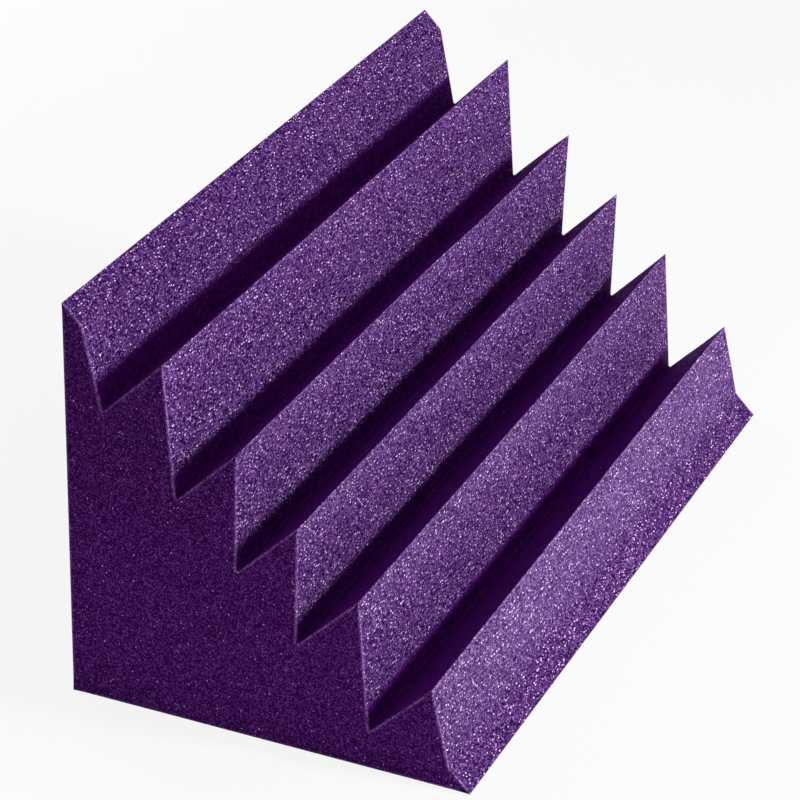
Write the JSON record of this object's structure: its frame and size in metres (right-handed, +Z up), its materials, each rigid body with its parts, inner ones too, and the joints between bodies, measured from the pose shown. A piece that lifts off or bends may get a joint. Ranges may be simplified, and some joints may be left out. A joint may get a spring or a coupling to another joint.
{
  "type": "corner bass trap",
  "caption": "Right-angled wedge of open-cell acoustic foam with a ridged slope, and adhesive tabs on its two wall faces to hold it in a room's corner.",
  "frame": {"origin": "middle of the bounding box in X and Y, level with the lowest faces, which are the liners on the lower wall face", "axes": "+Z up, square to the lower wall face; +Y along the ridges; +X from the upright wall face towards the toe of the slope"},
  "size_m": [0.3054, 0.6096, 0.3054],
  "materials": {
    "foam": "matte open-cell foam, deep purple, with fine bright cell edges",
    "tab": "white closed-cell foam tape with a tacky face",
    "liner": "smooth waxed kraft paper"
  },
  "bodies": {
    "root": {"foam_wedge": "foam", "base_tab_1": "tab", "base_liner_1": "liner", "base_tab_2": "tab", "base_liner_2": "liner", "base_tab_3": "tab", "base_liner_3": "liner", "base_tab_4": "tab", "base_liner_4": "liner", "back_tab_1": "tab", "back_liner_1": "liner", "back_tab_2": "tab", "back_liner_2": "liner", "back_tab_3": "tab", "back_liner_3": "liner", "back_tab_4": "tab", "back_liner_4": "liner"}
  },
  "joints": []
}
